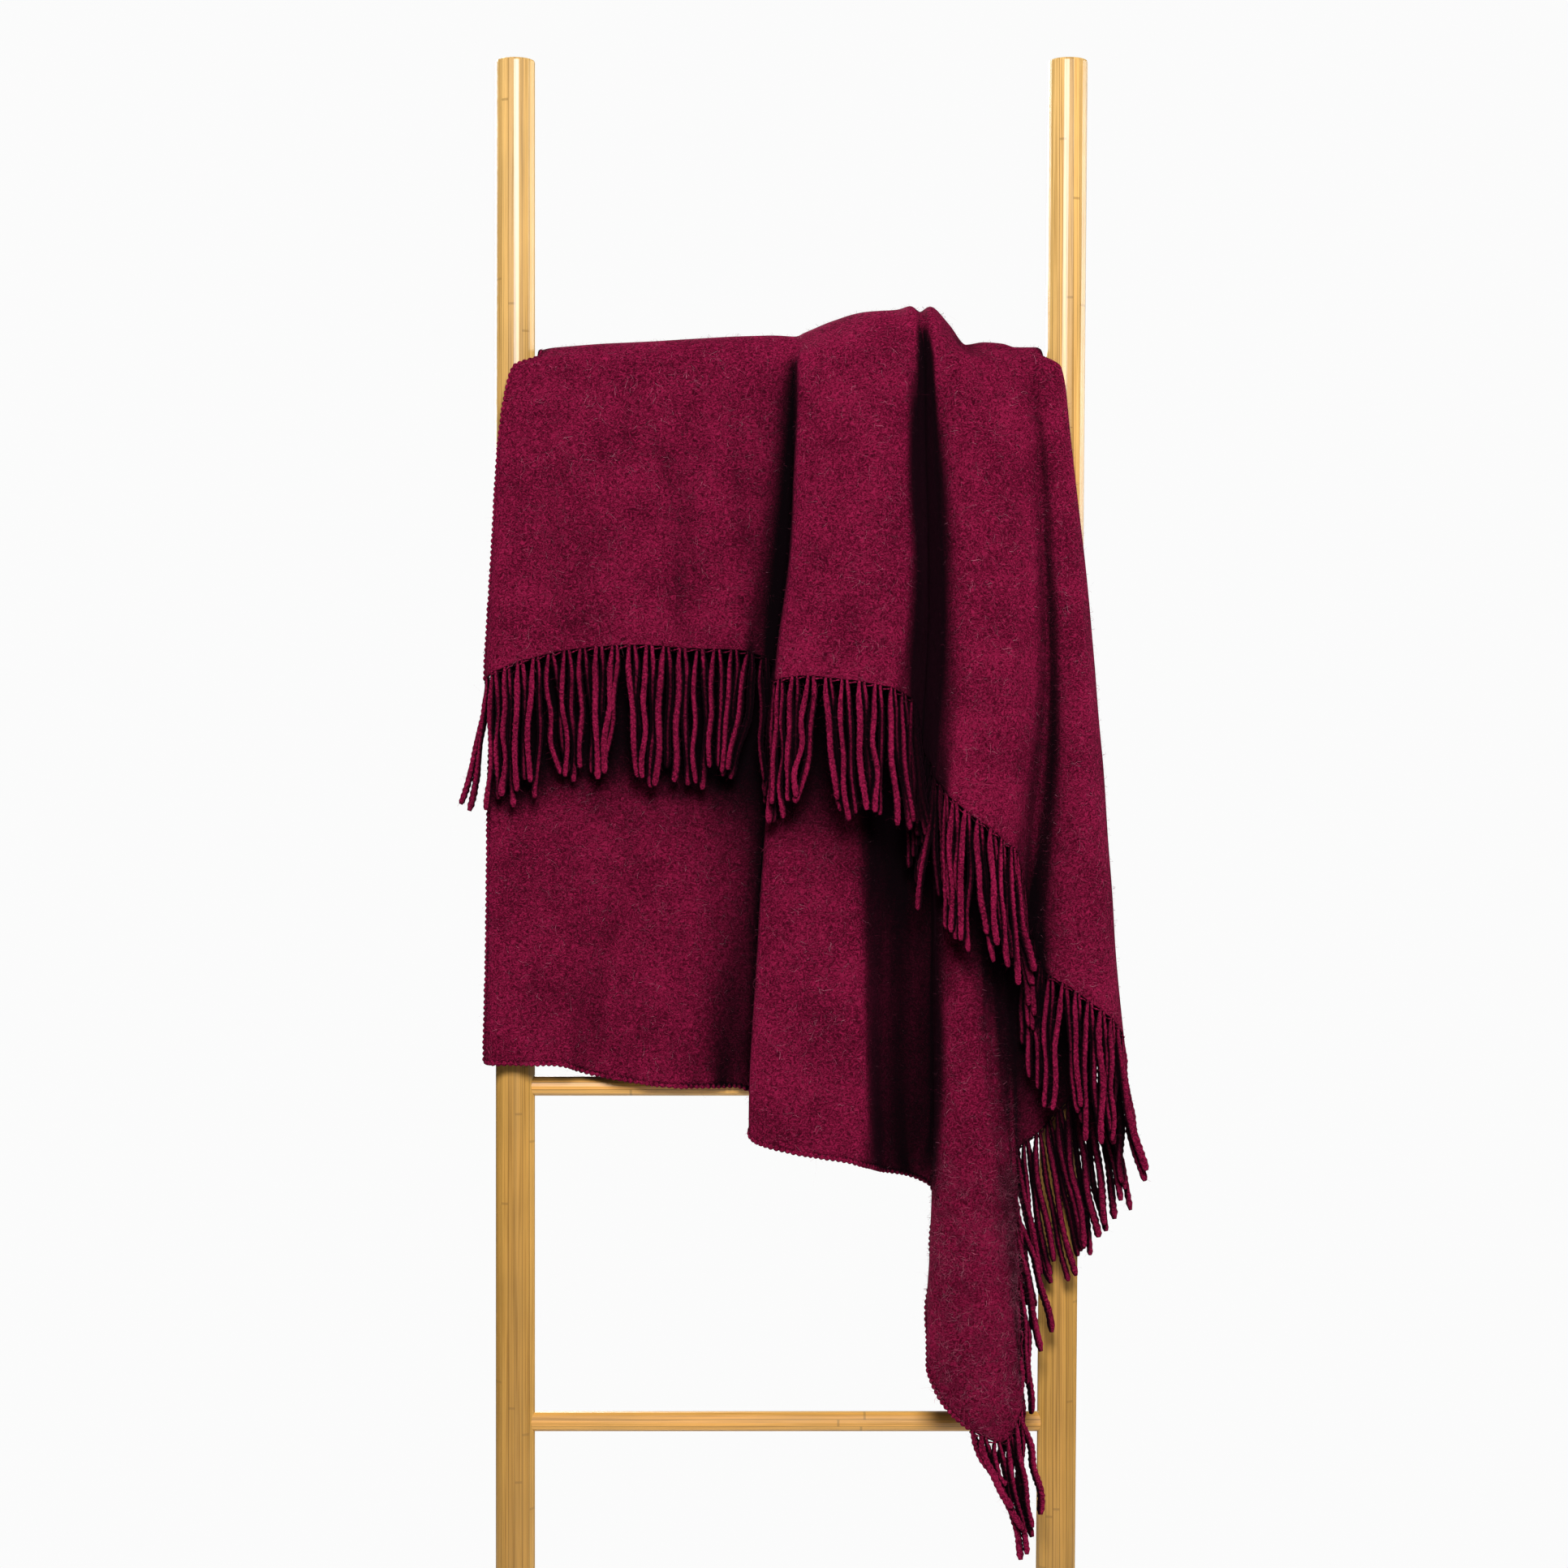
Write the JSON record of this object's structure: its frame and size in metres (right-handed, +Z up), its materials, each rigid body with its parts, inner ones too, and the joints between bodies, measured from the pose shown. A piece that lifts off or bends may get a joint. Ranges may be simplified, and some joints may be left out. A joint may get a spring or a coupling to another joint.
{
  "type": "wool throw on a bamboo ladder",
  "caption": "Deep wine-red felted wool throw with a fringed end, folded double over the top rung of a slim round-post bamboo ladder.",
  "frame": {"origin": "on the floor between the ladder's two feet, at the middle of the part's bounds", "axes": "+Z up along the ladder's posts, -Y towards the viewer of the throw's front, +X to the viewer's right"},
  "size_m": [0.5643, 0.2086, 1.694],
  "materials": {
    "wool": "felted wool, soft and matt with fine loose hairs",
    "bamboo": "laminated bamboo, satin, with fine straight grain"
  },
  "bodies": {
    "root": {"throw_cloth": "wool", "fringe_front": "wool", "fringe_back": "wool", "upright_left": "bamboo", "upright_right": "bamboo", "rung_1": "bamboo", "rung_2": "bamboo", "rung_3": "bamboo", "rung_4": "bamboo", "rung_5": "bamboo"}
  },
  "joints": []
}
